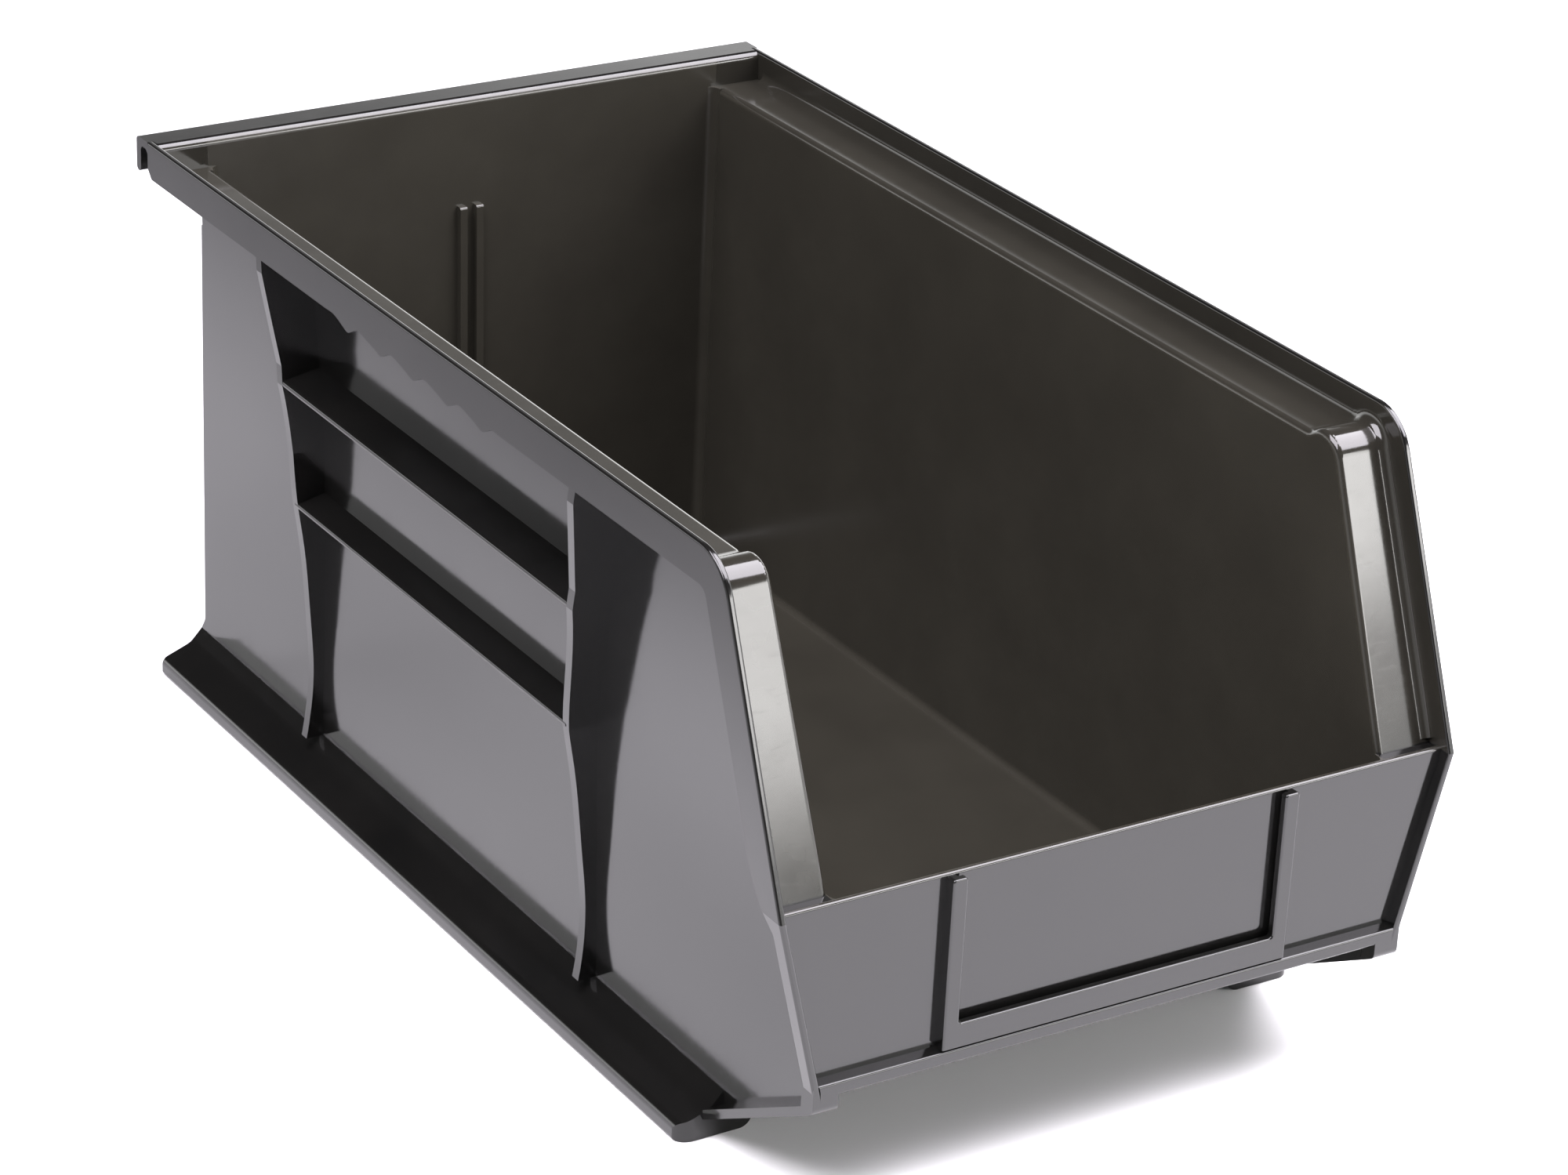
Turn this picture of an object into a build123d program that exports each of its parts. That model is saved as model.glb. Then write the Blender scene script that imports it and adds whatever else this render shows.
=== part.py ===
"""Open-front hang-and-stack storage bin, moulded plastic.

The moulding is divided into its named regions; each region is one closed solid
and neighbouring regions meet face to face.

Millimetres.  X is the width (left is -X), Y the length (front is -Y), Z is up.
The origin is on the floor under the middle of the bin.
"""

import os
from math import cos, dist, radians, sin, sqrt, tan

from build123d import *

# ---------------------------------------------------------------- dimensions
LENGTH = 374.65  # 14-3/4 in
WIDTH = 209.55  # 8-1/4 in
HEIGHT = 177.8  # 7 in

HALF_W = WIDTH / 2
FRONT = -LENGTH / 2
REAR = LENGTH / 2

WALL = 2.0  # side walls
DRAFT = 0.0192  # 1.1 degrees on every pulled face
INNER_HALF = 87.0  # inside half width at ledge height
FLOOR_TOP = 13.6
FLOOR_T = 2.4
RAMP_Y = -131.0  # where the floor starts to rise
RAMP_DEG = 27.5
CORNER_R = 3.0  # upright inside corners
BOTTOM_R = 2.5  # inside radius along the floor
PAN_LIP = 3.4  # height of side wall kept with the floor pan

RIM_T = 2.0
RIM_Y = -153.6  # sharp top-front corner of the rim, before rounding
RIM_R = 15.0
NOSE_Z = 92.3
LEDGE_DROP = 8.9  # ledge top below the rim top
RAIL_DROP = 8.2  # slanting front run of the ledge below the rim edge
STOP_RISE = 2.2  # bump at the front of the ledge that stops a stacked bin sliding off
STOP_Y = -135.8  # where the bump starts
RIM_DEPTH = 10.9  # ledge underside and upright lower edge below the rim top
LEDGE_EDGE_R = 1.8
ROOT_R = 3.0  # inside radius between ledge and upright
LEDGE_Z = HEIGHT - LEDGE_DROP
UNDER_Z = HEIGHT - RIM_DEPTH
GRIP_TOP = UNDER_Z + 1.0
UPRIGHT_REAR = 179.6
STUB_Y = 171.9  # the last of each ledge belongs to the back wall
PLATFORM_Z = 92.0

BACK_IN_TOP = 175.0  # inner face of the back wall at ledge height
BACK_T = 2.2

FRONT_TILT = 0.0185
PANEL_SET = 3.3  # front panel behind the border ribs
PANEL_T = 2.2
PANEL_TOP = 93.0
PANEL_SPLIT = -178.0

FLANGE_FOOT_IN = 90.1
FLANGE_FOOT_OUT = 92.3
FLANGE_FOOT_Z = 40.62
SILL_DEPTH = 2.9
SILL_Z = 6.3  # sill underside at y = -134.3
SILL_Y = -134.3
SILL_SLOPE = 0.546

SKIRT_FRONT = -133.4
SKIRT_REAR = 186.8
SKIRT_T = 2.2
SKIRT_OUT = 99.6
SKIRT_TOP = 13.0
RETURN_IN = 77.0
SKIRT_CORNER_R = 5.0

RIB_T = 3.3
GUIDE_IN, GUIDE_OUT, GUIDE_PROUD, GUIDE_TOP = 1.6, 4.0, 2.2, 143.5

RAMP = tan(radians(RAMP_DEG))
RAMP_C = cos(radians(RAMP_DEG))
FAR = 260.0


def inner_x(z):
    return INNER_HALF - DRAFT * (LEDGE_Z - z)


def outer_x(z):
    return inner_x(z) + WALL


def ramp_top(y):
    return FLOOR_TOP + (RAMP_Y - y) * RAMP


def ramp_under(y):
    return FLOOR_TOP - FLOOR_T / RAMP_C + (RAMP_Y - y) * RAMP


def ramp_under_y(z):
    return RAMP_Y - (z - FLOOR_TOP + FLOOR_T / RAMP_C) / RAMP


def flange_y(z):
    return FRONT + (NOSE_Z - z) * FRONT_TILT


def panel_y(z):
    return flange_y(z) + PANEL_SET


def panel_back(z):
    return panel_y(z) + PANEL_T


def foot_z(setback):
    """Height where the ramp's underside meets the front plane `setback` behind the border ribs."""
    run = RAMP_Y - (FRONT + NOSE_Z * FRONT_TILT + setback)
    return (FLOOR_TOP - FLOOR_T / RAMP_C + run * RAMP) / (1 - FRONT_TILT * RAMP)


def back_in(z):
    return BACK_IN_TOP - (LEDGE_Z - z) * DRAFT


def back_out(z):
    return back_in(z) + BACK_T


def sill_low(y):
    return SILL_Z + (SILL_Y - y) * SILL_SLOPE


def flange_in_x(z):
    return FLANGE_FOOT_IN + (z - FLANGE_FOOT_Z) * (
        (HALF_W - RIM_T - FLANGE_FOOT_IN) / (NOSE_Z - FLANGE_FOOT_Z)
    )


# the slanting front rail: unit direction (down and forward) and inward normal
RAIL = Vector(FRONT - RIM_Y, NOSE_Z - HEIGHT).normalized()
RAIL_N = Vector(-RAIL.Y, RAIL.X)


def rail_y(depth, z):
    """y of the line parallel to the slanting rail, `depth` inside it, at height z."""
    start = Vector(RIM_Y, HEIGHT) + RAIL_N * depth
    return start.X + RAIL.X * (z - start.Y) / RAIL.Y


def bend(before, point, after):
    """Start, middle and end of the rounding at a corner (a, b, radius)."""
    here = Vector(point[0], point[1])
    if len(point) < 3 or point[2] == 0:
        return (here.X, here.Y), None, (here.X, here.Y)
    u = (Vector(before[0], before[1]) - here).normalized()
    v = (Vector(after[0], after[1]) - here).normalized()
    half = radians(u.get_angle(v) / 2)
    run = point[2] / tan(half)
    start, end = here + u * run, here + v * run
    middle = here + (u + v).normalized() * (point[2] / sin(half) - point[2])
    return (start.X, start.Y), (middle.X, middle.Y), (end.X, end.Y)


def outline(points):
    """Closed outline in the current line builder; a corner is (a, b) or (a, b, radius)."""
    count = len(points)
    ends = [bend(points[i - 1], points[i], points[(i + 1) % count]) for i in range(count)]
    for i, (start, middle, end) in enumerate(ends):
        if middle is not None:
            ThreePointArc(start, middle, end)
        following = ends[(i + 1) % count][0]
        if dist(following, end) > 1e-6:
            Line(end, following)


def open_run(points):
    """The same, but not closed and with plain ends."""
    ends = [bend(points[i - 1], points[i], points[i + 1]) for i in range(1, len(points) - 1)]
    at = points[0]
    for start, middle, end in ends:
        Line(at, start)
        ThreePointArc(start, middle, end)
        at = end
    Line(at, points[-1])


def near(edges, test):
    """Edges whose middle passes the test."""
    return [e for e in edges if test(e @ 0.5)]


# ---------------------------------------------------------------- master shapes
# inside space of the bin
with BuildPart() as cavity:
    with BuildSketch(Plane.XZ.offset(-FAR)):
        with BuildLine():
            outline(
                [
                    (-inner_x(5), 5),
                    (inner_x(5), 5),
                    (inner_x(190), 190),
                    (-inner_x(190), 190),
                ]
            )
        make_face()
    extrude(amount=2 * FAR)
    with BuildSketch(Plane.YZ.offset(-FAR)):
        with BuildLine():
            outline(
                [
                    (panel_back(200), 200),
                    (
                        panel_back(ramp_top(panel_back(40))),
                        ramp_top(panel_back(40)),
                    ),
                    (RAMP_Y, FLOOR_TOP, 12.0),
                    (back_in(FLOOR_TOP), FLOOR_TOP),
                    (back_in(200), 200),
                ]
            )
        make_face()
    extrude(amount=2 * FAR, mode=Mode.INTERSECT)
    fillet(
        near(
            cavity.edges(),
            lambda p: abs(p.X) > 80
            and 60 < p.Z < 130
            and (p.Y < -178 or p.Y > 168),
        ),
        CORNER_R,
    )
    fillet(
        near(
            cavity.edges(),
            lambda p: (
                p.Z < FLOOR_TOP + 0.01
                and (abs(p.X) > 80 or p.Y > 160)
            )
            or (
                p.Y < RAMP_Y + 6
                and abs(p.Z - ramp_top(p.Y)) < 1.5
                and (abs(p.X) > 80 or p.Y < -178)
            ),
        ),
        BOTTOM_R,
    )

# floor and four walls in one piece, divided into nodes below
with BuildPart() as tub:
    with BuildSketch(Plane.XZ.offset(-FAR)):
        with BuildLine():
            outline(
                [
                    (-outer_x(5), 5),
                    (outer_x(5), 5),
                    (outer_x(190), 190),
                    (-outer_x(190), 190),
                ]
            )
        make_face()
    extrude(amount=2 * FAR)
    with BuildSketch(Plane.YZ.offset(-FAR)):
        with BuildLine():
            under = FLOOR_TOP - FLOOR_T
            outline(
                [
                    (panel_y(foot_z(PANEL_SET)), foot_z(PANEL_SET)),
                    (ramp_under_y(under), under),
                    (back_out(under), under),
                    (back_out(UNDER_Z), UNDER_Z),
                    (rail_y(RIM_DEPTH, UNDER_Z), UNDER_Z, RIM_R - RIM_DEPTH),
                    (rail_y(RIM_DEPTH, PLATFORM_Z - RIM_T), PLATFORM_Z - RIM_T),
                    (panel_y(PLATFORM_Z - RIM_T), PLATFORM_Z - RIM_T),
                ]
            )
        make_face()
    extrude(amount=2 * FAR, mode=Mode.INTERSECT)
    add(cavity.part, mode=Mode.SUBTRACT)

PAN_FRONT = ramp_top(PANEL_SPLIT) + PAN_LIP / RAMP_C
PAN_BEND_Y = RAMP_Y + (PAN_LIP / RAMP_C - PAN_LIP) / RAMP
PAN_Z = FLOOR_TOP + PAN_LIP

# ---------------------------------------------------------------- floor pan
with BuildPart() as floor_pan:
    add(tub.part)
    with BuildSketch(Plane.YZ.offset(-FAR)):
        with BuildLine():
            outline(
                [
                    (PANEL_SPLIT, -20),
                    (FAR, -20),
                    (FAR, PAN_Z),
                    (PAN_BEND_Y, PAN_Z),
                    (PANEL_SPLIT, PAN_FRONT),
                ]
            )
        make_face()
    extrude(amount=2 * FAR, mode=Mode.INTERSECT)

# ---------------------------------------------------------------- side walls
with BuildPart() as right_wall:
    add(tub.part)
    with BuildSketch(Plane.YZ.offset(20)):
        with BuildLine():
            outline(
                [
                    (PANEL_SPLIT, PAN_FRONT),
                    (PAN_BEND_Y, PAN_Z),
                    (back_in(PAN_Z) - 3.1, PAN_Z),
                    (STUB_Y, UNDER_Z),
                    (STUB_Y, FAR),
                    (PANEL_SPLIT, FAR),
                ]
            )
        make_face()
    extrude(amount=FAR, mode=Mode.INTERSECT)

with BuildPart() as left_wall:
    mirror(right_wall.part, about=Plane.YZ)

# ---------------------------------------------------------------- back wall
with BuildPart() as back_wall:
    add(tub.part)
    with BuildSketch(Plane.YZ.offset(-FAR)):
        with BuildLine():
            outline(
                [
                    (back_in(PAN_Z) - 3.1, PAN_Z),
                    (FAR, PAN_Z),
                    (FAR, FAR),
                    (STUB_Y, FAR),
                    (STUB_Y, UNDER_Z),
                ]
            )
        make_face()
    extrude(amount=2 * FAR, mode=Mode.INTERSECT)
    # rear ends of the two ledges, round the inside corners
    with BuildSketch(Plane.YZ.offset(-(HALF_W - RIM_T))):
        with BuildLine():
            outline(
                [
                    (STUB_Y, UNDER_Z),
                    (back_out(UNDER_Z), UNDER_Z),
                    (back_out(LEDGE_Z), LEDGE_Z),
                    (STUB_Y, LEDGE_Z),
                ]
            )
        make_face()
    extrude(amount=WIDTH - 2 * RIM_T)
    add(cavity.part, mode=Mode.SUBTRACT)
    # full-width band above the ledges, thickening to the lip
    with BuildSketch(Plane.YZ.offset(-(HALF_W - RIM_T))):
        with BuildLine():
            outline(
                [
                    (back_in(LEDGE_Z), LEDGE_Z),
                    (back_out(LEDGE_Z), LEDGE_Z),
                    (UPRIGHT_REAR, 174.2),
                    (UPRIGHT_REAR, HEIGHT),
                    (back_in(HEIGHT), HEIGHT, 2.3),
                ]
            )
        make_face()
    extrude(amount=WIDTH - 2 * RIM_T)

# ---------------------------------------------------------------- front panel
with BuildPart() as front_panel:
    add(tub.part)
    with BuildSketch(Plane.YZ.offset(-FAR)):
        with BuildLine():
            outline(
                [(-FAR, -20), (PANEL_SPLIT, -20), (PANEL_SPLIT, FAR), (-FAR, FAR)]
            )
        make_face()
    extrude(amount=2 * FAR, mode=Mode.INTERSECT)
    # the plate itself, running past the side walls to the border ribs
    with BuildSketch(Plane.YZ.offset(-FAR), mode=Mode.PRIVATE) as panel_side:
        with BuildLine():
            outline(
                [
                    (panel_y(foot_z(PANEL_SET)), foot_z(PANEL_SET)),
                    (panel_back(foot_z(PANEL_SET + PANEL_T)), foot_z(PANEL_SET + PANEL_T)),
                    (panel_back(PANEL_TOP), PANEL_TOP, 0.9),
                    (panel_y(PANEL_TOP), PANEL_TOP, 0.9),
                ]
            )
        make_face()
    with BuildSketch(Plane.XZ.offset(150), mode=Mode.PRIVATE) as panel_face:
        with BuildLine():
            top_in = HALF_W - RIM_T
            outline(
                [
                    (-FLANGE_FOOT_IN, 30),
                    (FLANGE_FOOT_IN, 30),
                    (FLANGE_FOOT_IN, FLANGE_FOOT_Z),
                    (top_in, NOSE_Z),
                    (top_in, 120),
                    (-top_in, 120),
                    (-top_in, NOSE_Z),
                    (-FLANGE_FOOT_IN, FLANGE_FOOT_Z),
                ]
            )
        make_face()
    plate = extrude(panel_side.sketch, amount=2 * FAR, mode=Mode.PRIVATE) & extrude(
        panel_face.sketch, amount=60, mode=Mode.PRIVATE
    )
    add(plate)

# ---------------------------------------------------------------- border ribs
with BuildPart() as right_front_flange:
    with BuildSketch(Plane.XZ.offset(150)):
        with BuildLine():
            outline(
                [
                    (FLANGE_FOOT_IN, 30),
                    (FLANGE_FOOT_OUT, 30),
                    (FLANGE_FOOT_OUT, FLANGE_FOOT_Z),
                    (HALF_W, NOSE_Z),
                    (HALF_W - RIM_T, NOSE_Z),
                    (FLANGE_FOOT_IN, FLANGE_FOOT_Z),
                ]
            )
        make_face()
    extrude(amount=60)
    with BuildSketch(Plane.YZ.offset(60)):
        with BuildLine():
            rear_low = sill_low(panel_back(39)) + SILL_DEPTH
            front_low = sill_low(flange_y(42)) + SILL_DEPTH
            outline(
                [
                    (flange_y(front_low), front_low),
                    (panel_back(rear_low), rear_low),
                    (panel_back(87.0), 87.0, 5.0),
                    (-178.25, NOSE_Z),
                    (flange_y(NOSE_Z), NOSE_Z),
                ]
            )
        make_face()
    extrude(amount=80, mode=Mode.INTERSECT)
    fillet(
        near(
            right_front_flange.edges(),
            lambda p: 45 < p.Z < 86 and (p.Y < -185.5 or (p.Y > -182.5 and p.X > flange_in_x(p.Z) + 1.0)),
        ),
        0.7,
    )

with BuildPart() as left_front_flange:
    mirror(right_front_flange.part, about=Plane.YZ)

# lower edge of the side wall, running on down from the ramp to the border rib
with BuildPart() as side_web:
    with BuildSketch(Plane.XZ.offset(-FAR)):
        with BuildLine():
            outline(
                [
                    (inner_x(0), 0),
                    (outer_x(0), 0),
                    (outer_x(80), 80),
                    (inner_x(80), 80),
                ]
            )
        make_face()
    extrude(amount=2 * FAR)
    with BuildSketch(Plane.YZ.offset(60)):
        with BuildLine():
            outline(
                [
                    (SKIRT_FRONT, sill_low(SKIRT_FRONT) + 1),
                    (SKIRT_FRONT, ramp_under(SKIRT_FRONT) + 1),
                    (panel_back(38), ramp_under(panel_back(38)) + 1),
                    (panel_back(38), sill_low(panel_back(38)) + 1),
                ]
            )
        make_face()
    extrude(amount=60, mode=Mode.INTERSECT)

with BuildPart() as right_side_sill:
    # border rib following the ramp
    tip = flange_y(35)
    with BuildSketch(Plane.YZ.offset(FLANGE_FOOT_IN)):
        with BuildLine():
            outline(
                [
                    (SKIRT_FRONT, sill_low(SKIRT_FRONT)),
                    (SKIRT_FRONT, sill_low(SKIRT_FRONT) + SILL_DEPTH),
                    (flange_y(front_low), front_low),
                    (tip, sill_low(tip), 2.5),
                ]
            )
        make_face()
    extrude(amount=FLANGE_FOOT_OUT - FLANGE_FOOT_IN)
    # the rest of its width, closed up to the front panel at the nose
    with BuildSketch(Plane.YZ.offset(84.6)):
        with BuildLine():
            outline(
                [
                    (SKIRT_FRONT, sill_low(SKIRT_FRONT)),
                    (SKIRT_FRONT, sill_low(SKIRT_FRONT) + SILL_DEPTH),
                    (panel_back(rear_low), rear_low),
                    (panel_back(39.4), 39.4),
                    (flange_y(39.4), 39.4),
                    (tip, sill_low(tip), 2.5),
                ]
            )
        make_face()
    extrude(amount=FLANGE_FOOT_IN - 84.6)
    add(side_web.part)
    add(tub.part, mode=Mode.SUBTRACT)
    add(front_panel.part, mode=Mode.SUBTRACT)

with BuildPart() as left_side_sill:
    mirror(right_side_sill.part, about=Plane.YZ)

with BuildPart() as front_sill:
    with BuildSketch(Plane.XZ.offset(150)):
        with BuildLine():
            outline(
                [
                    (-FLANGE_FOOT_IN, 30),
                    (FLANGE_FOOT_IN, 30),
                    (FLANGE_FOOT_IN, FLANGE_FOOT_Z),
                    (flange_in_x(60), 60),
                    (-flange_in_x(60), 60),
                    (-FLANGE_FOOT_IN, FLANGE_FOOT_Z),
                ]
            )
        make_face()
    extrude(amount=60)
    with BuildSketch(Plane.YZ.offset(-FAR)):
        with BuildLine():
            outline(
                [
                    (flange_y(38.6), 38.7, 0.8),
                    (panel_y(38.4), 38.3),
                    (panel_y(43.1), 43.1),
                    (flange_y(42.4), 42.4, 0.8),
                ]
            )
        make_face()
    extrude(amount=2 * FAR, mode=Mode.INTERSECT)
    add(right_side_sill.part, mode=Mode.SUBTRACT)
    add(left_side_sill.part, mode=Mode.SUBTRACT)
    add(right_front_flange.part, mode=Mode.SUBTRACT)
    add(left_front_flange.part, mode=Mode.SUBTRACT)

# ---------------------------------------------------------------- label holder
RAIL_IN, RAIL_OUT, HOLDER_TOP, HOLDER_BAND = 49.3, 53.9, 92.4, 50.0
with BuildPart() as label_holder:
    with BuildSketch(Plane.XZ.offset(150)):
        with BuildLine():
            outline(
                [
                    (-RAIL_OUT, 43.1),
                    (RAIL_OUT, 43.1),
                    (RAIL_OUT, HOLDER_TOP, 0.8),
                    (RAIL_IN, HOLDER_TOP, 0.8),
                    (RAIL_IN, HOLDER_BAND, 1.0),
                    (-RAIL_IN, HOLDER_BAND, 1.0),
                    (-RAIL_IN, HOLDER_TOP, 0.8),
                    (-RAIL_OUT, HOLDER_TOP, 0.8),
                ]
            )
        make_face()
    extrude(amount=60)
    with BuildSketch(Plane.YZ.offset(-FAR)):
        with BuildLine():
            outline(
                [
                    (flange_y(42.4), 42.4),
                    (panel_y(43.1), 43.1),
                    (panel_y(100), 100),
                    (flange_y(100), 100),
                ]
            )
        make_face()
    extrude(amount=2 * FAR, mode=Mode.INTERSECT)
    # slot for a label card behind the rails, open at the top
    with BuildSketch(Plane.YZ.offset(-51.5)):
        with BuildLine():
            outline(
                [
                    (panel_y(47.5) - 1.3, 47.5),
                    (panel_y(47.5) + 0.5, 47.5),
                    (panel_y(100) + 0.5, 100),
                    (panel_y(100) - 1.3, 100),
                ]
            )
        make_face()
    extrude(amount=103.0, mode=Mode.SUBTRACT)
    fillet(
        near(
            label_holder.edges(),
            lambda p: p.Z > 44 and abs(p.Y - flange_y(p.Z)) < 0.05,
        ),
        0.6,
    )

# ---------------------------------------------------------------- rims
STOP_Z = LEDGE_Z + STOP_RISE
LEDGE_LINE = [
    (STUB_Y, LEDGE_Z),
    (STOP_Y, LEDGE_Z, 6.0),
    (STOP_Y - 4.0, STOP_Z, 6.0),
    (rail_y(RAIL_DROP, STOP_Z), STOP_Z, 8.0),
]
with BuildPart() as root_fill:
    with BuildLine(Plane.YZ.offset(HALF_W - RIM_T)) as root_line:
        open_run([*LEDGE_LINE, (rail_y(RAIL_DROP, 93.4), 93.4)])
    with BuildSketch(
        Plane(origin=(HALF_W - RIM_T, STUB_Y, LEDGE_Z), x_dir=(1, 0, 0), z_dir=(0, -1, 0))
    ):
        with BuildLine():
            waist = ROOT_R * (1 - sqrt(0.5))
            Polyline((-ROOT_R, 0), (-ROOT_R, -0.6), (0.6, -0.6), (0.6, ROOT_R), (0, ROOT_R))
            ThreePointArc((0, ROOT_R), (-waist, waist), (-ROOT_R, 0))
        make_face()
    sweep(path=root_line.wires()[0])

with BuildPart() as right_rim:
    # ledge and its slanting front run
    with BuildSketch(Plane.YZ.offset(80)):
        with BuildLine():
            low = PLATFORM_Z - RIM_T
            outline(
                [
                    (STUB_Y, UNDER_Z),
                    *LEDGE_LINE,
                    (rail_y(RAIL_DROP, low), low),
                    (rail_y(RIM_DEPTH, low), low),
                    (rail_y(RIM_DEPTH, UNDER_Z), UNDER_Z, RIM_R - RIM_DEPTH),
                ]
            )
        make_face()
    extrude(amount=HALF_W - RIM_T - 80)
    with BuildSketch(Plane.XZ.offset(-FAR)):
        with BuildLine():
            outline(
                [
                    (inner_x(80), 80),
                    (HALF_W - RIM_T, 80),
                    (HALF_W - RIM_T, 190),
                    (inner_x(190), 190),
                ]
            )
        make_face()
    extrude(amount=2 * FAR, mode=Mode.INTERSECT)
    fillet(
        near(
            right_rim.edges(),
            lambda p: abs(p.X - inner_x(p.Z)) < 0.3
            and p.Y < STUB_Y - 0.5
            and (
                p.Z > LEDGE_Z - 0.1
                or (92 < p.Z < 168.9 and p.Y < rail_y(RAIL_DROP, p.Z) + 1.2)
            ),
        ),
        LEDGE_EDGE_R,
    )
    # corner platform
    with BuildSketch(Plane.YZ.offset(80)):
        with BuildLine():
            outline(
                [
                    (rail_y(RIM_DEPTH, low) - 1.0, low),
                    (rail_y(LEDGE_DROP, PLATFORM_Z) + 0.5, PLATFORM_Z),
                    (-183.0, PLATFORM_Z),
                    (-183.0, low),
                ]
            )
        make_face()
    extrude(amount=HALF_W - RIM_T - 80)
    add(cavity.part, mode=Mode.SUBTRACT)
    add(front_panel.part, mode=Mode.SUBTRACT)
    add(right_front_flange.part, mode=Mode.SUBTRACT)
    add(root_fill.part)
    # upright, with a recess that takes the finger-grip strip
    with BuildSketch(Plane.YZ.offset(HALF_W - RIM_T)):
        with BuildLine():
            outline(
                [
                    (UPRIGHT_REAR, HEIGHT),
                    (RIM_Y, HEIGHT, RIM_R),
                    (FRONT, NOSE_Z),
                    (-178.25, NOSE_Z),
                    (rail_y(RIM_DEPTH, 101.6), 101.6, 8.0),
                    (rail_y(RIM_DEPTH, UNDER_Z), UNDER_Z, RIM_R - RIM_DEPTH),
                    (-40, UNDER_Z),
                    (-40, GRIP_TOP),
                    (62, GRIP_TOP),
                    (62, UNDER_Z),
                    (177.0, UNDER_Z),
                    (UPRIGHT_REAR, 169.5, 1.0),
                ]
            )
        make_face()
    extrude(amount=RIM_T)
    fillet(
        near(
            right_rim.edges(),
            lambda p: p.X > HALF_W - RIM_T - 0.01
            and (
                abs(p.Z - HEIGHT) < 0.01
                or (
                    93 < p.Z < HEIGHT
                    and abs(p.Y - rail_y(0, p.Z)) < 3.2
                    and p.Y < RIM_Y + 6
                )
            )
            and p.Y < UPRIGHT_REAR - 1,
        ),
        0.7,
    )

with BuildPart() as left_rim:
    mirror(right_rim.part, about=Plane.YZ)

# ---------------------------------------------------------------- finger grips
GRIP = [
    (58.8, 167.0), (53.5, 166.0), (50.6, 165.0), (48.6, 164.5),
    (44.8, 166.2), (41.5, 167.1), (39.6, 166.8), (34.3, 165.8), (30.6, 165.0), (28.7, 164.6),
    (25.0, 166.2), (21.6, 167.1), (19.3, 166.8), (15.0, 165.9), (11.4, 165.0), (9.3, 164.6),
    (5.6, 166.2), (2.0, 167.1), (-0.4, 166.8), (-4.8, 165.9), (-8.5, 165.0), (-10.5, 164.6),
    (-14.2, 166.2), (-17.8, 167.1), (-20.2, 166.8), (-24.6, 165.9), (-28.3, 165.0), (-30.3, 164.6),
    (-33.6, 166.0), (-37.4, 167.0),
]
with BuildPart() as right_finger_grip:
    with BuildSketch(Plane.YZ.offset(HALF_W - RIM_T)):
        with BuildLine():
            Polyline((-40, UNDER_Z), (-40, GRIP_TOP), (62, GRIP_TOP), (62, UNDER_Z), GRIP[0])
            Spline(*GRIP)
            Line(GRIP[-1], (-40, UNDER_Z))
        make_face()
    extrude(amount=RIM_T)

with BuildPart() as left_finger_grip:
    mirror(right_finger_grip.part, about=Plane.YZ)

# ---------------------------------------------------------------- hanging lip
with BuildPart() as hang_lip:
    with BuildSketch(Plane.YZ.offset(-HALF_W)):
        with BuildLine():
            outline(
                [
                    (UPRIGHT_REAR, HEIGHT),
                    (UPRIGHT_REAR, 174.2),
                    (180.9, 175.4, 1.0),
                    (184.4, 175.4, 1.6),
                    (184.4, 167.2, 1.2),
                    (REAR, 167.2, 1.4),
                    (REAR, HEIGHT, 1.4),
                ]
            )
        make_face()
    extrude(amount=WIDTH)

# ---------------------------------------------------------------- base
FOOT_INSIDE = [
    (inner_x(SKIRT_TOP), 12.1),
    (88.8, 6.95, 5.0),
    (97.4, 3.3, 1.0),
    (97.2, 0),
]
# outer and inner limits of the flared foot, right-hand side
with BuildPart() as foot_outer:
    with BuildSketch(Plane.XZ.offset(-SKIRT_REAR)):
        with BuildLine():
            outline(
                [
                    (RETURN_IN, 0, 4.0),
                    (RETURN_IN, SKIRT_TOP),
                    (outer_x(SKIRT_TOP), SKIRT_TOP),
                    (90.0, 8.7, 7.0),
                    (SKIRT_OUT, 5.0, 2.8),
                    (SKIRT_OUT, 0, 0.8),
                ]
            )
        make_face()
    extrude(amount=SKIRT_REAR - SKIRT_FRONT)
    with BuildSketch(Plane.XY.offset(-5)):
        with BuildLine():
            outline(
                [
                    (60, SKIRT_FRONT),
                    (SKIRT_OUT + 0.3, SKIRT_FRONT, SKIRT_CORNER_R),
                    (SKIRT_OUT + 0.3, SKIRT_REAR),
                    (60, SKIRT_REAR),
                ]
            )
        make_face()
    extrude(amount=30, mode=Mode.INTERSECT)

with BuildPart() as foot_inner:
    with BuildSketch(Plane.XZ.offset(-FAR)):
        with BuildLine():
            outline(
                [
                    (60, -5),
                    (60, 20),
                    (inner_x(SKIRT_TOP), 20),
                    *FOOT_INSIDE,
                    (97.2, -5),
                ]
            )
        make_face()
    extrude(amount=2 * FAR)
    with BuildSketch(Plane.XY.offset(-10)):
        with BuildLine():
            outline(
                [
                    (50, SKIRT_FRONT + SKIRT_T),
                    (97.4, SKIRT_FRONT + SKIRT_T, SKIRT_CORNER_R - SKIRT_T),
                    (97.4, FAR),
                    (50, FAR),
                ]
            )
        make_face()
    extrude(amount=40, mode=Mode.INTERSECT)

with BuildPart() as right_base_skirt:
    add(foot_outer.part)
    add(foot_inner.part, mode=Mode.SUBTRACT)
    add(tub.part, mode=Mode.SUBTRACT)

with BuildPart() as left_base_skirt:
    mirror(right_base_skirt.part, about=Plane.YZ)

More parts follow.
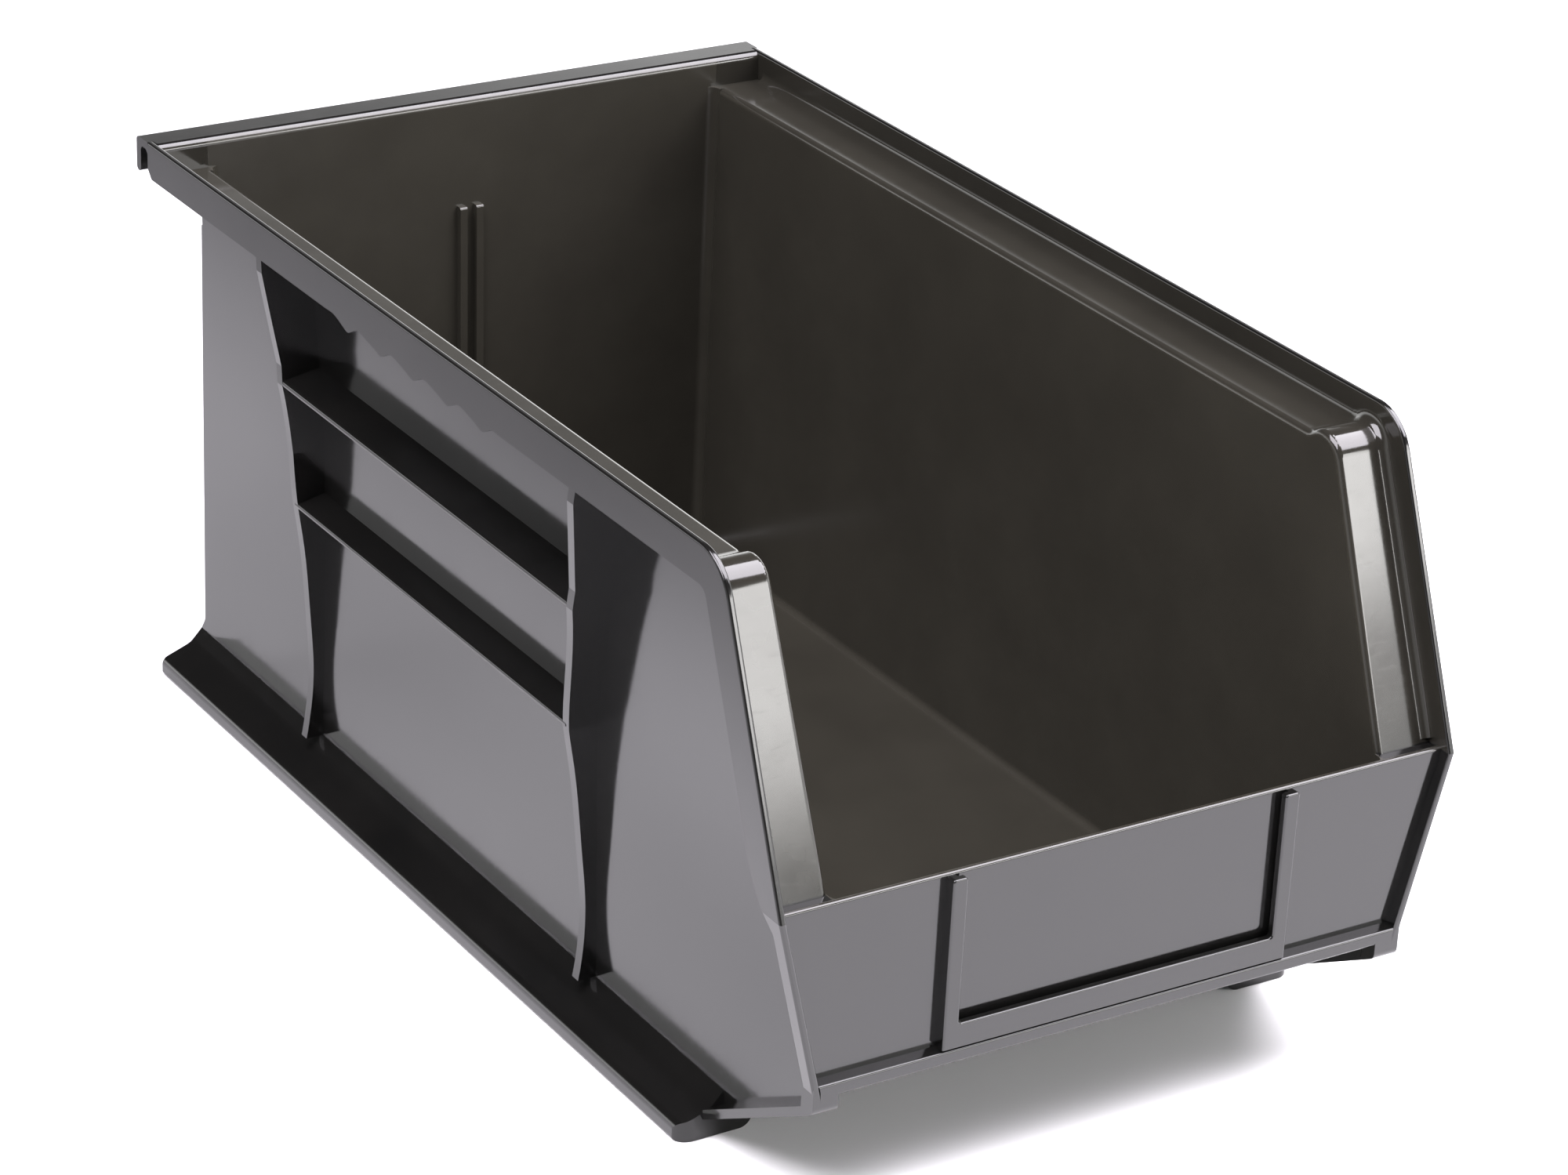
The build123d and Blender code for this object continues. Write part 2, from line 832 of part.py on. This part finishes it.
with BuildPart() as rear_base_skirt:
    # upright plate closing the foot at the rear
    with BuildSketch(Plane.XZ.offset(-SKIRT_REAR)):
        with BuildLine():
            outline(
                [
                    *reversed(FOOT_INSIDE),
                    (inner_x(SKIRT_TOP), SKIRT_TOP),
                    (-inner_x(SKIRT_TOP), SKIRT_TOP),
                    *[(-corner[0], *corner[1:]) for corner in FOOT_INSIDE],
                ]
            )
        make_face()
    extrude(amount=SKIRT_T)
    # shelf joining it to the back wall
    with BuildSketch(Plane.XY.offset(SKIRT_TOP - SKIRT_T)):
        with BuildLine():
            shelf_half = inner_x(SKIRT_TOP)
            outline(
                [
                    (-shelf_half, 170),
                    (shelf_half, 170),
                    (shelf_half, SKIRT_REAR - 1),
                    (-shelf_half, SKIRT_REAR - 1),
                ]
            )
        make_face()
    extrude(amount=SKIRT_T)
    add(right_base_skirt.part, mode=Mode.SUBTRACT)
    add(left_base_skirt.part, mode=Mode.SUBTRACT)
    add(tub.part, mode=Mode.SUBTRACT)

# ---------------------------------------------------------------- rear gussets
GUSSET_TOP = 150.0
with BuildPart() as right_rear_gusset:
    with BuildSketch(Plane.XZ.offset(-FAR)):
        with BuildLine():
            outline(
                [
                    (inner_x(0), 0),
                    (outer_x(0), 0),
                    (outer_x(200), 200),
                    (inner_x(200), 200),
                ]
            )
        make_face()
    extrude(amount=FAR)
    with BuildSketch(Plane.YZ.offset(60)):
        with BuildLine():
            outline(
                [
                    (back_out(SKIRT_TOP), SKIRT_TOP),
                    (back_out(GUSSET_TOP), GUSSET_TOP),
                    (177.46, GUSSET_TOP),
                    (184.0, 17.0, 4.0),
                    (SKIRT_REAR, SKIRT_TOP),
                ]
            )
        make_face()
    extrude(amount=60, mode=Mode.INTERSECT)

with BuildPart() as left_rear_gusset:
    mirror(right_rear_gusset.part, about=Plane.YZ)

# ---------------------------------------------------------------- outside ribs
RIB_EDGE = [
    (100.2, 129.0), (97.7, 108.0), (96.3, 92.0), (93.9, 77.0), (91.2, 52.0),
    (89.9, 38.0), (90.6, 19.0), (92.0, 11.0), (94.0, 4.0),
]
REAR_RIB = [(103.5, SKIRT_TOP), (103.4, 20), (101.0, 52), (99.2, 85), (99.0, 108), (101.0, 133), (103.2, 152), (104.6, UNDER_Z)]
FRONT_RIB = [(-63.0, SKIRT_TOP), (-63.0, 90), (-71.6, 132), (-76.0, 152), (-79.2, UNDER_Z)]

with BuildPart() as rib_plate:
    with BuildSketch(Plane.XZ.offset(-FAR)):
        with BuildLine():
            Spline(*RIB_EDGE)
            Polyline(
                RIB_EDGE[-1],
                (inner_x(4.0) + 1, 4.0),
                (inner_x(UNDER_Z) + 1, UNDER_Z),
                (HALF_W, UNDER_Z),
                (HALF_W, 163.0),
                (100.2, 135.0),
                RIB_EDGE[0],
            )
        make_face()
    extrude(amount=2 * FAR)

with BuildPart() as right_rear_rib:
    add(rib_plate.part)
    with BuildSketch(Plane.YZ.offset(60)):
        with BuildLine():
            outline([(y - RIB_T / 2, z) for y, z in REAR_RIB] + [(y + RIB_T / 2, z) for y, z in reversed(REAR_RIB)])
        make_face()
    extrude(amount=60, mode=Mode.INTERSECT)
    add(tub.part, mode=Mode.SUBTRACT)
    add(right_base_skirt.part, mode=Mode.SUBTRACT)
    add(foot_inner.part, mode=Mode.SUBTRACT)

with BuildPart() as right_front_rib:
    add(rib_plate.part)
    with BuildSketch(Plane.YZ.offset(60)):
        with BuildLine():
            outline([(y - RIB_T / 2, z) for y, z in FRONT_RIB] + [(y + RIB_T / 2, z) for y, z in reversed(FRONT_RIB)])
        make_face()
    extrude(amount=60, mode=Mode.INTERSECT)
    add(tub.part, mode=Mode.SUBTRACT)
    add(right_base_skirt.part, mode=Mode.SUBTRACT)
    add(foot_inner.part, mode=Mode.SUBTRACT)

with BuildPart() as left_rear_rib:
    mirror(right_rear_rib.part, about=Plane.YZ)

with BuildPart() as left_front_rib:
    mirror(right_front_rib.part, about=Plane.YZ)

with BuildPart() as right_upper_shelf:
    with BuildSketch(Plane.XZ.offset(-101.5)):
        with BuildLine():
            outline([(87.3, 132.7), (87.3, 130.7), (100.2, 128.6, 0.7), (100.2, 130.5, 0.9)])
        make_face()
    extrude(amount=101.5 + 71.3)
    add(tub.part, mode=Mode.SUBTRACT)
    add(right_rear_rib.part, mode=Mode.SUBTRACT)
    add(right_front_rib.part, mode=Mode.SUBTRACT)

with BuildPart() as right_lower_shelf:
    with BuildSketch(Plane.XZ.offset(-99.3)):
        with BuildLine():
            outline([(86.6, 94.0), (86.6, 91.9), (96.3, 90.1, 0.7), (96.3, 91.9, 0.9)])
        make_face()
    extrude(amount=99.3 + 63.2)
    add(tub.part, mode=Mode.SUBTRACT)
    add(right_rear_rib.part, mode=Mode.SUBTRACT)
    add(right_front_rib.part, mode=Mode.SUBTRACT)

with BuildPart() as left_upper_shelf:
    mirror(right_upper_shelf.part, about=Plane.YZ)

with BuildPart() as left_lower_shelf:
    mirror(right_lower_shelf.part, about=Plane.YZ)

# ---------------------------------------------------------------- divider guides
with BuildPart() as back_right_divider_guide:
    with BuildSketch(Plane.YZ.offset(GUIDE_IN)):
        with BuildLine():
            outline(
                [
                    (back_in(PAN_Z), PAN_Z),
                    (back_in(GUIDE_TOP), GUIDE_TOP),
                    (back_in(GUIDE_TOP) - GUIDE_PROUD, GUIDE_TOP, 0.8),
                    (back_in(PAN_Z) - GUIDE_PROUD, PAN_Z),
                ]
            )
        make_face()
    extrude(amount=GUIDE_OUT - GUIDE_IN)

with BuildPart() as back_left_divider_guide:
    mirror(back_right_divider_guide.part, about=Plane.YZ)

with BuildPart() as front_right_divider_guide:
    with BuildSketch(Plane.YZ.offset(GUIDE_IN)):
        with BuildLine():
            outline(
                [
                    (panel_back(46), 46),
                    (panel_back(84), 84),
                    (panel_back(84) + GUIDE_PROUD, 84, 0.8),
                    (panel_back(46) + GUIDE_PROUD, 46),
                ]
            )
        make_face()
    extrude(amount=GUIDE_OUT - GUIDE_IN)

with BuildPart() as front_left_divider_guide:
    mirror(front_right_divider_guide.part, about=Plane.YZ)

# ---------------------------------------------------------------- export
floor_pan.part.label = "floor_pan"
back_wall.part.label = "back_wall"
left_wall.part.label = "left_wall"
right_wall.part.label = "right_wall"
front_panel.part.label = "front_panel"
left_rim.part.label = "left_rim"
right_rim.part.label = "right_rim"
left_finger_grip.part.label = "left_finger_grip"
right_finger_grip.part.label = "right_finger_grip"
hang_lip.part.label = "hang_lip"
left_front_flange.part.label = "left_front_flange"
right_front_flange.part.label = "right_front_flange"
left_side_sill.part.label = "left_side_sill"
right_side_sill.part.label = "right_side_sill"
front_sill.part.label = "front_sill"
label_holder.part.label = "label_holder"
left_base_skirt.part.label = "left_base_skirt"
right_base_skirt.part.label = "right_base_skirt"
rear_base_skirt.part.label = "rear_base_skirt"
left_rear_gusset.part.label = "left_rear_gusset"
right_rear_gusset.part.label = "right_rear_gusset"
left_rear_rib.part.label = "left_rear_rib"
right_rear_rib.part.label = "right_rear_rib"
left_front_rib.part.label = "left_front_rib"
right_front_rib.part.label = "right_front_rib"
left_upper_shelf.part.label = "left_upper_shelf"
right_upper_shelf.part.label = "right_upper_shelf"
left_lower_shelf.part.label = "left_lower_shelf"
right_lower_shelf.part.label = "right_lower_shelf"
back_left_divider_guide.part.label = "back_left_divider_guide"
back_right_divider_guide.part.label = "back_right_divider_guide"
front_left_divider_guide.part.label = "front_left_divider_guide"
front_right_divider_guide.part.label = "front_right_divider_guide"

os.makedirs("parts", exist_ok=True)
for piece in (
    floor_pan,
    back_wall,
    left_wall,
    right_wall,
    front_panel,
    left_rim,
    right_rim,
    left_finger_grip,
    right_finger_grip,
    hang_lip,
    left_front_flange,
    right_front_flange,
    left_side_sill,
    right_side_sill,
    front_sill,
    label_holder,
    left_base_skirt,
    right_base_skirt,
    rear_base_skirt,
    left_rear_gusset,
    right_rear_gusset,
    left_rear_rib,
    right_rear_rib,
    left_front_rib,
    right_front_rib,
    left_upper_shelf,
    right_upper_shelf,
    left_lower_shelf,
    right_lower_shelf,
    back_left_divider_guide,
    back_right_divider_guide,
    front_left_divider_guide,
    front_right_divider_guide,
):
    export_step(piece.part, f"parts/{piece.part.label}.step")
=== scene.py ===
import math

import bpy
from mathutils import Matrix, Vector


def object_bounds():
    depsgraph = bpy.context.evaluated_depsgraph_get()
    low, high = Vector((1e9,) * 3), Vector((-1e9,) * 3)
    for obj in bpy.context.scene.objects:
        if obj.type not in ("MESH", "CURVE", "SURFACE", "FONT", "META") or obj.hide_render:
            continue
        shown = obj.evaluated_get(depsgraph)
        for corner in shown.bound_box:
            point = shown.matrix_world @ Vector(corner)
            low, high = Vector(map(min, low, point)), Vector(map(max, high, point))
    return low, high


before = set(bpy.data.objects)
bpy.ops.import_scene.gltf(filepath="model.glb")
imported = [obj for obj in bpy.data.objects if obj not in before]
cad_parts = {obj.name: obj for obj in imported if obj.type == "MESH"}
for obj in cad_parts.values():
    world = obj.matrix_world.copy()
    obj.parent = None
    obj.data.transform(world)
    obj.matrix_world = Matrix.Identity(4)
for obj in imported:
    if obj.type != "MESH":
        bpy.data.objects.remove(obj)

cad_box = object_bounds()
low, high = Vector(cad_box[0]), Vector(cad_box[1])
centre = (low + high) / 2
scene = bpy.context.scene


# ------------------------------------------------------------------ node helpers
def new_material(name):
    mat = bpy.data.materials.new(name)
    mat.use_nodes = True
    nt = mat.node_tree
    nt.nodes.clear()
    out = nt.nodes.new("ShaderNodeOutputMaterial")
    bsdf = nt.nodes.new("ShaderNodeBsdfPrincipled")
    nt.links.new(bsdf.outputs["BSDF"], out.inputs["Surface"])
    return mat, nt, bsdf


def noise(nt, coords, scale, detail=3.0, rough=0.5, stretch=None):
    source = coords
    if stretch is not None:
        mapping = nt.nodes.new("ShaderNodeMapping")
        mapping.inputs["Scale"].default_value = stretch
        nt.links.new(coords, mapping.inputs["Vector"])
        source = mapping.outputs["Vector"]
    n = nt.nodes.new("ShaderNodeTexNoise")
    n.inputs["Scale"].default_value = scale
    n.inputs["Detail"].default_value = detail
    n.inputs["Roughness"].default_value = rough
    nt.links.new(source, n.inputs["Vector"])
    return n.outputs["Fac"]


def remap(nt, value, a, b, c, d):
    m = nt.nodes.new("ShaderNodeMapRange")
    m.inputs["From Min"].default_value = a
    m.inputs["From Max"].default_value = b
    m.inputs["To Min"].default_value = c
    m.inputs["To Max"].default_value = d
    nt.links.new(value, m.inputs["Value"])
    return m.outputs["Result"]


def combine(nt, op, a, b):
    m = nt.nodes.new("ShaderNodeMath")
    m.operation = op
    for i, v in enumerate((a, b)):
        if isinstance(v, (int, float)):
            m.inputs[i].default_value = v
        else:
            nt.links.new(v, m.inputs[i])
    return m.outputs[0]


# ------------------------------------------------------------------ glossy black plastic
def inside_masks_with_painted_light(nt, coords):
    """1 on the faces that look into the bin, 0 outside: the core side of the mould is less polished. The second
    mask also carries the lighter inside colour, partly that duller core finish and partly painted light.
    """
    xyz = nt.nodes.new("ShaderNodeSeparateXYZ")
    nt.links.new(coords, xyz.inputs["Vector"])
    x, y, z = xyz.outputs
    wide = combine(nt, "ABSOLUTE", x, 0.0)
    limit = combine(nt, "MULTIPLY_ADD", z, 0.0192)
    limit.node.inputs[2].default_value = 0.0841
    m1 = combine(nt, "LESS_THAN", wide, limit)
    rise = combine(nt, "MAXIMUM", combine(nt, "SUBTRACT", -0.131, y), 0.0)
    floor_z = combine(nt, "MULTIPLY_ADD", rise, 0.5206)
    floor_z.node.inputs[2].default_value = 0.0126
    m2 = combine(nt, "GREATER_THAN", z, floor_z)
    back_y = combine(nt, "MULTIPLY_ADD", z, 0.0192)
    back_y.node.inputs[2].default_value = 0.1728
    m3 = combine(nt, "LESS_THAN", y, back_y)
    m4 = combine(nt, "GREATER_THAN", y, -0.1828)
    m5 = combine(nt, "LESS_THAN", z, 0.1774)
    m = combine(nt, "MULTIPLY", m1, m2)
    m = combine(nt, "MULTIPLY", m, m3)
    m = combine(nt, "MULTIPLY", m, m4)
    core = combine(nt, "MULTIPLY", m, m5)
    # ledges and the inner faces of the uprights, behind the slanting front edge
    depth = combine(nt, "ADD", combine(nt, "MULTIPLY", y, 0.9303), combine(nt, "MULTIPLY", z, -0.3669))
    r = combine(nt, "MULTIPLY", combine(nt, "LESS_THAN", wide, 0.1030), combine(nt, "GREATER_THAN", z, 0.0925))
    r = combine(nt, "MULTIPLY", r, combine(nt, "GREATER_THAN", depth, -0.2076))
    shelf = combine(nt, "MAXIMUM", combine(nt, "GREATER_THAN", z, 0.1672), combine(nt, "LESS_THAN", depth, -0.1975))
    r = combine(nt, "MULTIPLY", r, shelf)
    r = combine(nt, "MULTIPLY", r, combine(nt, "MULTIPLY", m3, m5))
    # the ledges are more polished than the core side and take 0.6 of its lighter colour: painted light that
    # brightens them
    return core, combine(nt, "MAXIMUM", core, combine(nt, "MULTIPLY", r, 0.6))


def black_plastic():
    mat, nt, bsdf = new_material("moulded_black_plastic")
    coords = nt.nodes.new("ShaderNodeTexCoord").outputs["Object"]
    core, painted_lit_inside = inside_masks_with_painted_light(nt, coords)

    # very slightly uneven carbon black, a touch warmer where the pigment is thin
    blotch = noise(nt, coords, 26.0, 4.0, 0.6)
    outer_and_lit_inner_tints = []
    # outer black first, then a lighter, warmer copy for the inside: partly the duller core-side finish, partly
    # painted light that brightens the interior
    for dark, pale in (
        ((0.0040, 0.0040, 0.0038), (0.0056, 0.0054, 0.0050)),
        ((0.0205, 0.0190, 0.0150), (0.0262, 0.0244, 0.0192)),
    ):
        ramp = nt.nodes.new("ShaderNodeValToRGB")
        ramp.color_ramp.elements[0].position = 0.30
        ramp.color_ramp.elements[0].color = (*dark, 1)
        ramp.color_ramp.elements[1].position = 0.72
        ramp.color_ramp.elements[1].color = (*pale, 1)
        nt.links.new(blotch, ramp.inputs["Fac"])
        outer_and_lit_inner_tints.append(ramp.outputs["Color"])
    mix = nt.nodes.new("ShaderNodeMix")
    mix.data_type = "RGBA"
    nt.links.new(painted_lit_inside, mix.inputs[0])
    nt.links.new(outer_and_lit_inner_tints[0], mix.inputs[6])
    nt.links.new(outer_and_lit_inner_tints[1], mix.inputs[7])
    nt.links.new(mix.outputs[2], bsdf.inputs["Base Color"])

    # handling smudges and fine rubbing make the gloss uneven
    smudge = noise(nt, coords, 38.0, 6.0, 0.62)
    rub = noise(nt, coords, 420.0, 2.0, 0.5, (0.35, 1.0, 2.2))
    base = remap(nt, smudge, 0.35, 0.75, 0.085, 0.150)
    extra = remap(nt, rub, 0.58, 0.80, 0.0, 0.05)
    gloss = combine(nt, "ADD", base, extra)
    duller = combine(nt, "MULTIPLY", core, 0.09)
    nt.links.new(combine(nt, "ADD", gloss, duller), bsdf.inputs["Roughness"])

    bsdf.inputs["IOR"].default_value = 1.50

    # long, shallow waviness of a thin moulded wall and a fine tool texture
    wave = noise(nt, coords, 11.0, 1.0, 0.4)
    fine = noise(nt, coords, 260.0, 3.0, 0.55)
    b1 = nt.nodes.new("ShaderNodeBump")
    b1.inputs["Strength"].default_value = 0.22
    b1.inputs["Distance"].default_value = 0.0012
    nt.links.new(wave, b1.inputs["Height"])
    b2 = nt.nodes.new("ShaderNodeBump")
    b2.inputs["Strength"].default_value = 0.10
    b2.inputs["Distance"].default_value = 0.00003
    nt.links.new(fine, b2.inputs["Height"])
    nt.links.new(b1.outputs["Normal"], b2.inputs["Normal"])
    nt.links.new(b2.outputs["Normal"], bsdf.inputs["Normal"])
    return mat


plastic = black_plastic()
for name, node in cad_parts.items():
    for slot in node.material_slots:
        slot.material = plastic
    if not node.material_slots:
        node.data.materials.append(plastic)

# ------------------------------------------------------------------ floor
def floor_material():
    mat, nt, bsdf = new_material("pale_floor_painted_shade")
    coords = nt.nodes.new("ShaderNodeTexCoord").outputs["Object"]
    mottled = noise(nt, coords, 3.0, 3.0, 0.5)
    ramp = nt.nodes.new("ShaderNodeValToRGB")
    ramp.color_ramp.elements[0].color = (0.86, 0.86, 0.86, 1)
    ramp.color_ramp.elements[1].color = (0.88, 0.88, 0.88, 1)
    nt.links.new(mottled, ramp.inputs["Fac"])
    # painted shade: the floor albedo falls to 0.48 toward the left and to 0.55 behind the bin, so the walls reflect
    # a darker floor
    xyz = nt.nodes.new("ShaderNodeSeparateXYZ")
    nt.links.new(coords, xyz.inputs["Vector"])
    painted_floor_shade = remap(nt, xyz.outputs[0], -0.32, -0.17, 0.48, 1.0)
    painted_floor_shade.node.interpolation_type = "SMOOTHSTEP"
    painted_rear_shade = remap(nt, xyz.outputs[1], 0.02, 0.30, 1.0, 0.55)
    painted_rear_shade.node.interpolation_type = "SMOOTHSTEP"
    painted_floor_shade = combine(nt, "MULTIPLY", painted_floor_shade, painted_rear_shade)
    painted_shade_multiply = nt.nodes.new("ShaderNodeMix")
    painted_shade_multiply.data_type = "RGBA"
    painted_shade_multiply.blend_type = "MULTIPLY"
    painted_shade_multiply.inputs[0].default_value = 1.0
    nt.links.new(ramp.outputs["Color"], painted_shade_multiply.inputs[6])
    nt.links.new(painted_floor_shade, painted_shade_multiply.inputs[7])
    nt.links.new(painted_shade_multiply.outputs[2], bsdf.inputs["Base Color"])
    bsdf.inputs["Roughness"].default_value = 0.9
    bsdf.inputs["Specular IOR Level"].default_value = 0.1
    return mat


size = 14.0
mesh = bpy.data.meshes.new("studio_floor")
z = low.z - 0.0002
mesh.from_pydata(
    [(-size, -size, z), (size, -size, z), (size, size, z), (-size, size, z)], [], [(0, 1, 2, 3)]
)
floor = bpy.data.objects.new("studio_floor", mesh)
scene.collection.objects.link(floor)
floor.data.materials.append(floor_material())


# ------------------------------------------------------------------ light
def area(name, place, aim, width, height, power, colour=(1, 1, 1), spread=180.0):
    data = bpy.data.lights.new(name, "AREA")
    data.shape = "RECTANGLE"
    data.size, data.size_y = width, height
    data.energy = power
    data.color = colour
    data.spread = math.radians(spread)
    lamp = bpy.data.objects.new(name, data)
    lamp.location = place
    lamp.rotation_euler = (Vector(aim) - Vector(place)).to_track_quat("-Z", "Y").to_euler()
    scene.collection.objects.link(lamp)
    return lamp


area("overhead_left", (-1.1, -0.25, 2.5), (0, 0, 0), 2.4, 2.2, 225.0, (0.965, 0.93, 1.0))
area("overhead_right", (1.5, -0.5, 2.4), (0, 0, 0), 2.4, 2.2, 240.0, (0.965, 0.93, 1.0))
area("front_right", (1.18, -2.0, 0.78), (0, -0.16, 0.14), 1.25, 0.50, 25.0, (1.0, 0.985, 0.97))

world = bpy.data.worlds.new("studio")
scene.world = world
world.use_nodes = True
wt = world.node_tree
wt.nodes.clear()
w_out = wt.nodes.new("ShaderNodeOutputWorld")
w_bg = wt.nodes.new("ShaderNodeBackground")
w_ramp = wt.nodes.new("ShaderNodeValToRGB")
w_xyz = wt.nodes.new("ShaderNodeSeparateXYZ")
w_co = wt.nodes.new("ShaderNodeTexCoord")
wt.links.new(w_co.outputs["Generated"], w_xyz.inputs["Vector"])
wt.links.new(w_xyz.outputs["Z"], w_ramp.inputs["Fac"])
e = w_ramp.color_ramp.elements
e[0].position, e[0].color = 0.0, (1.0, 1.0, 1.0, 1)
e[1].position, e[1].color = 0.60, (0.002, 0.002, 0.002, 1)
for place, level in ((0.22, 0.95), (0.31, 0.66), (0.345, 0.22), (0.40, 0.14), (0.50, 0.06)):
    stop = e.new(place)
    stop.color = (level, level, level, 1)
wt.links.new(w_ramp.outputs["Color"], w_bg.inputs["Color"])
# the studio is dark to the back left and bright to the back right
w_side = remap(wt, w_xyz.outputs["X"], -0.30, 0.40, 0.10, 1.2)
w_edge = remap(wt, w_xyz.outputs["X"], 0.40, 0.60, 0.0, 2.8)
w_front = remap(wt, w_xyz.outputs["Y"], -0.30, 0.10, 0.85, 1.0)
w_low = remap(wt, w_xyz.outputs["Z"], 0.16, 0.32, 3.0, 0.0)
w_back = remap(wt, w_xyz.outputs["Y"], 0.20, 0.55, 0.0, 1.0)
w_far = remap(wt, w_xyz.outputs["X"], -0.85, -0.60, 0.95, 0.0)
w_high = combine(wt, "MULTIPLY", combine(wt, "ADD", w_side, w_edge), w_front)
w_high = combine(wt, "ADD", w_high, w_far)
w_low = combine(wt, "MULTIPLY", w_low, w_back)
wt.links.new(combine(wt, "MAXIMUM", w_high, w_low), w_bg.inputs["Strength"])
wt.links.new(w_bg.outputs["Background"], w_out.inputs["Surface"])

# ------------------------------------------------------------------ camera
turn = Vector((1.9514955730, -0.5201387134, 0.3842854722))
shift = Vector((-0.011683818, 0.077694056, 1.447708988))
rot = Matrix.Rotation(turn.length, 3, turn.normalized())
eye = -(rot.transposed() @ shift)
right, down, ahead = rot[0], rot[1], rot[2]
pose = Matrix(
    (
        (right[0], -down[0], -ahead[0], eye[0]),
        (right[1], -down[1], -ahead[1], eye[1]),
        (right[2], -down[2], -ahead[2], eye[2]),
        (0, 0, 0, 1),
    )
)
cam = bpy.data.cameras.new("camera")
cam.sensor_width = 36.0
cam.lens = 36.0 * 6322.357 / 2000.0
cam.clip_start, cam.clip_end = 0.05, 100.0
camera = bpy.data.objects.new("camera", cam)
camera.matrix_world = pose
scene.collection.objects.link(camera)
scene.camera = camera
scene.view_settings.view_transform = "Standard"
